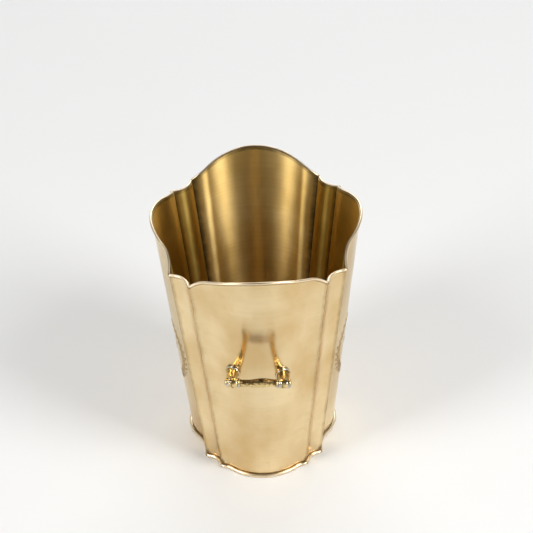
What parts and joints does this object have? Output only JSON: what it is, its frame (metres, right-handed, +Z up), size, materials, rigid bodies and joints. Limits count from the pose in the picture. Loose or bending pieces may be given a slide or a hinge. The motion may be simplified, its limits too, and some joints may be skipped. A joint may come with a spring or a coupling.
{
  "type": "planter pot",
  "caption": "Tapered metal planter pot with serpentine panels, fluted corners, a crested wire rim and a small fixed bar handle at each end.",
  "frame": {"origin": "centre of the base, on the surface that the pot stands on", "axes": "+Z up; +Y along the longer side of the pot, with a handle at the +Y and the -Y end; +X across it, through the plain side panels"},
  "size_m": [0.2342, 0.3118, 0.3094],
  "materials": {
    "sheet_brass": "satin lacquered, brushed",
    "wire_brass": "polished",
    "plate_brass": "dull, darkened inside",
    "handle_brass": "antique cast, dark patina in the hollows"
  },
  "bodies": {
    "root": {"base_wire_corner_back_left": "wire_brass", "base_wire_corner_back_right": "wire_brass", "base_wire_corner_front_left": "wire_brass", "base_wire_corner_front_right": "wire_brass", "base_wire_end_back": "wire_brass", "base_wire_end_front": "wire_brass", "base_wire_side_left": "wire_brass", "base_wire_side_right": "wire_brass", "bottom_plate": "plate_brass", "corner_flute_back_left": "sheet_brass", "corner_flute_back_right": "sheet_brass", "corner_flute_front_left": "sheet_brass", "corner_flute_front_right": "sheet_brass", "end_panel_back": "sheet_brass", "end_panel_front": "sheet_brass", "handle_bar_back": "handle_brass", "handle_bar_front": "handle_brass", "handle_post_back_left": "handle_brass", "handle_post_back_right": "handle_brass", "handle_post_front_left": "handle_brass", "handle_post_front_right": "handle_brass", "rim_wire_corner_back_left": "wire_brass", "rim_wire_corner_back_right": "wire_brass", "rim_wire_corner_front_left": "wire_brass", "rim_wire_corner_front_right": "wire_brass", "rim_wire_end_back": "wire_brass", "rim_wire_end_front": "wire_brass", "rim_wire_side_left": "wire_brass", "rim_wire_side_right": "wire_brass", "side_panel_left": "sheet_brass", "side_panel_right": "sheet_brass"}
  },
  "joints": []
}
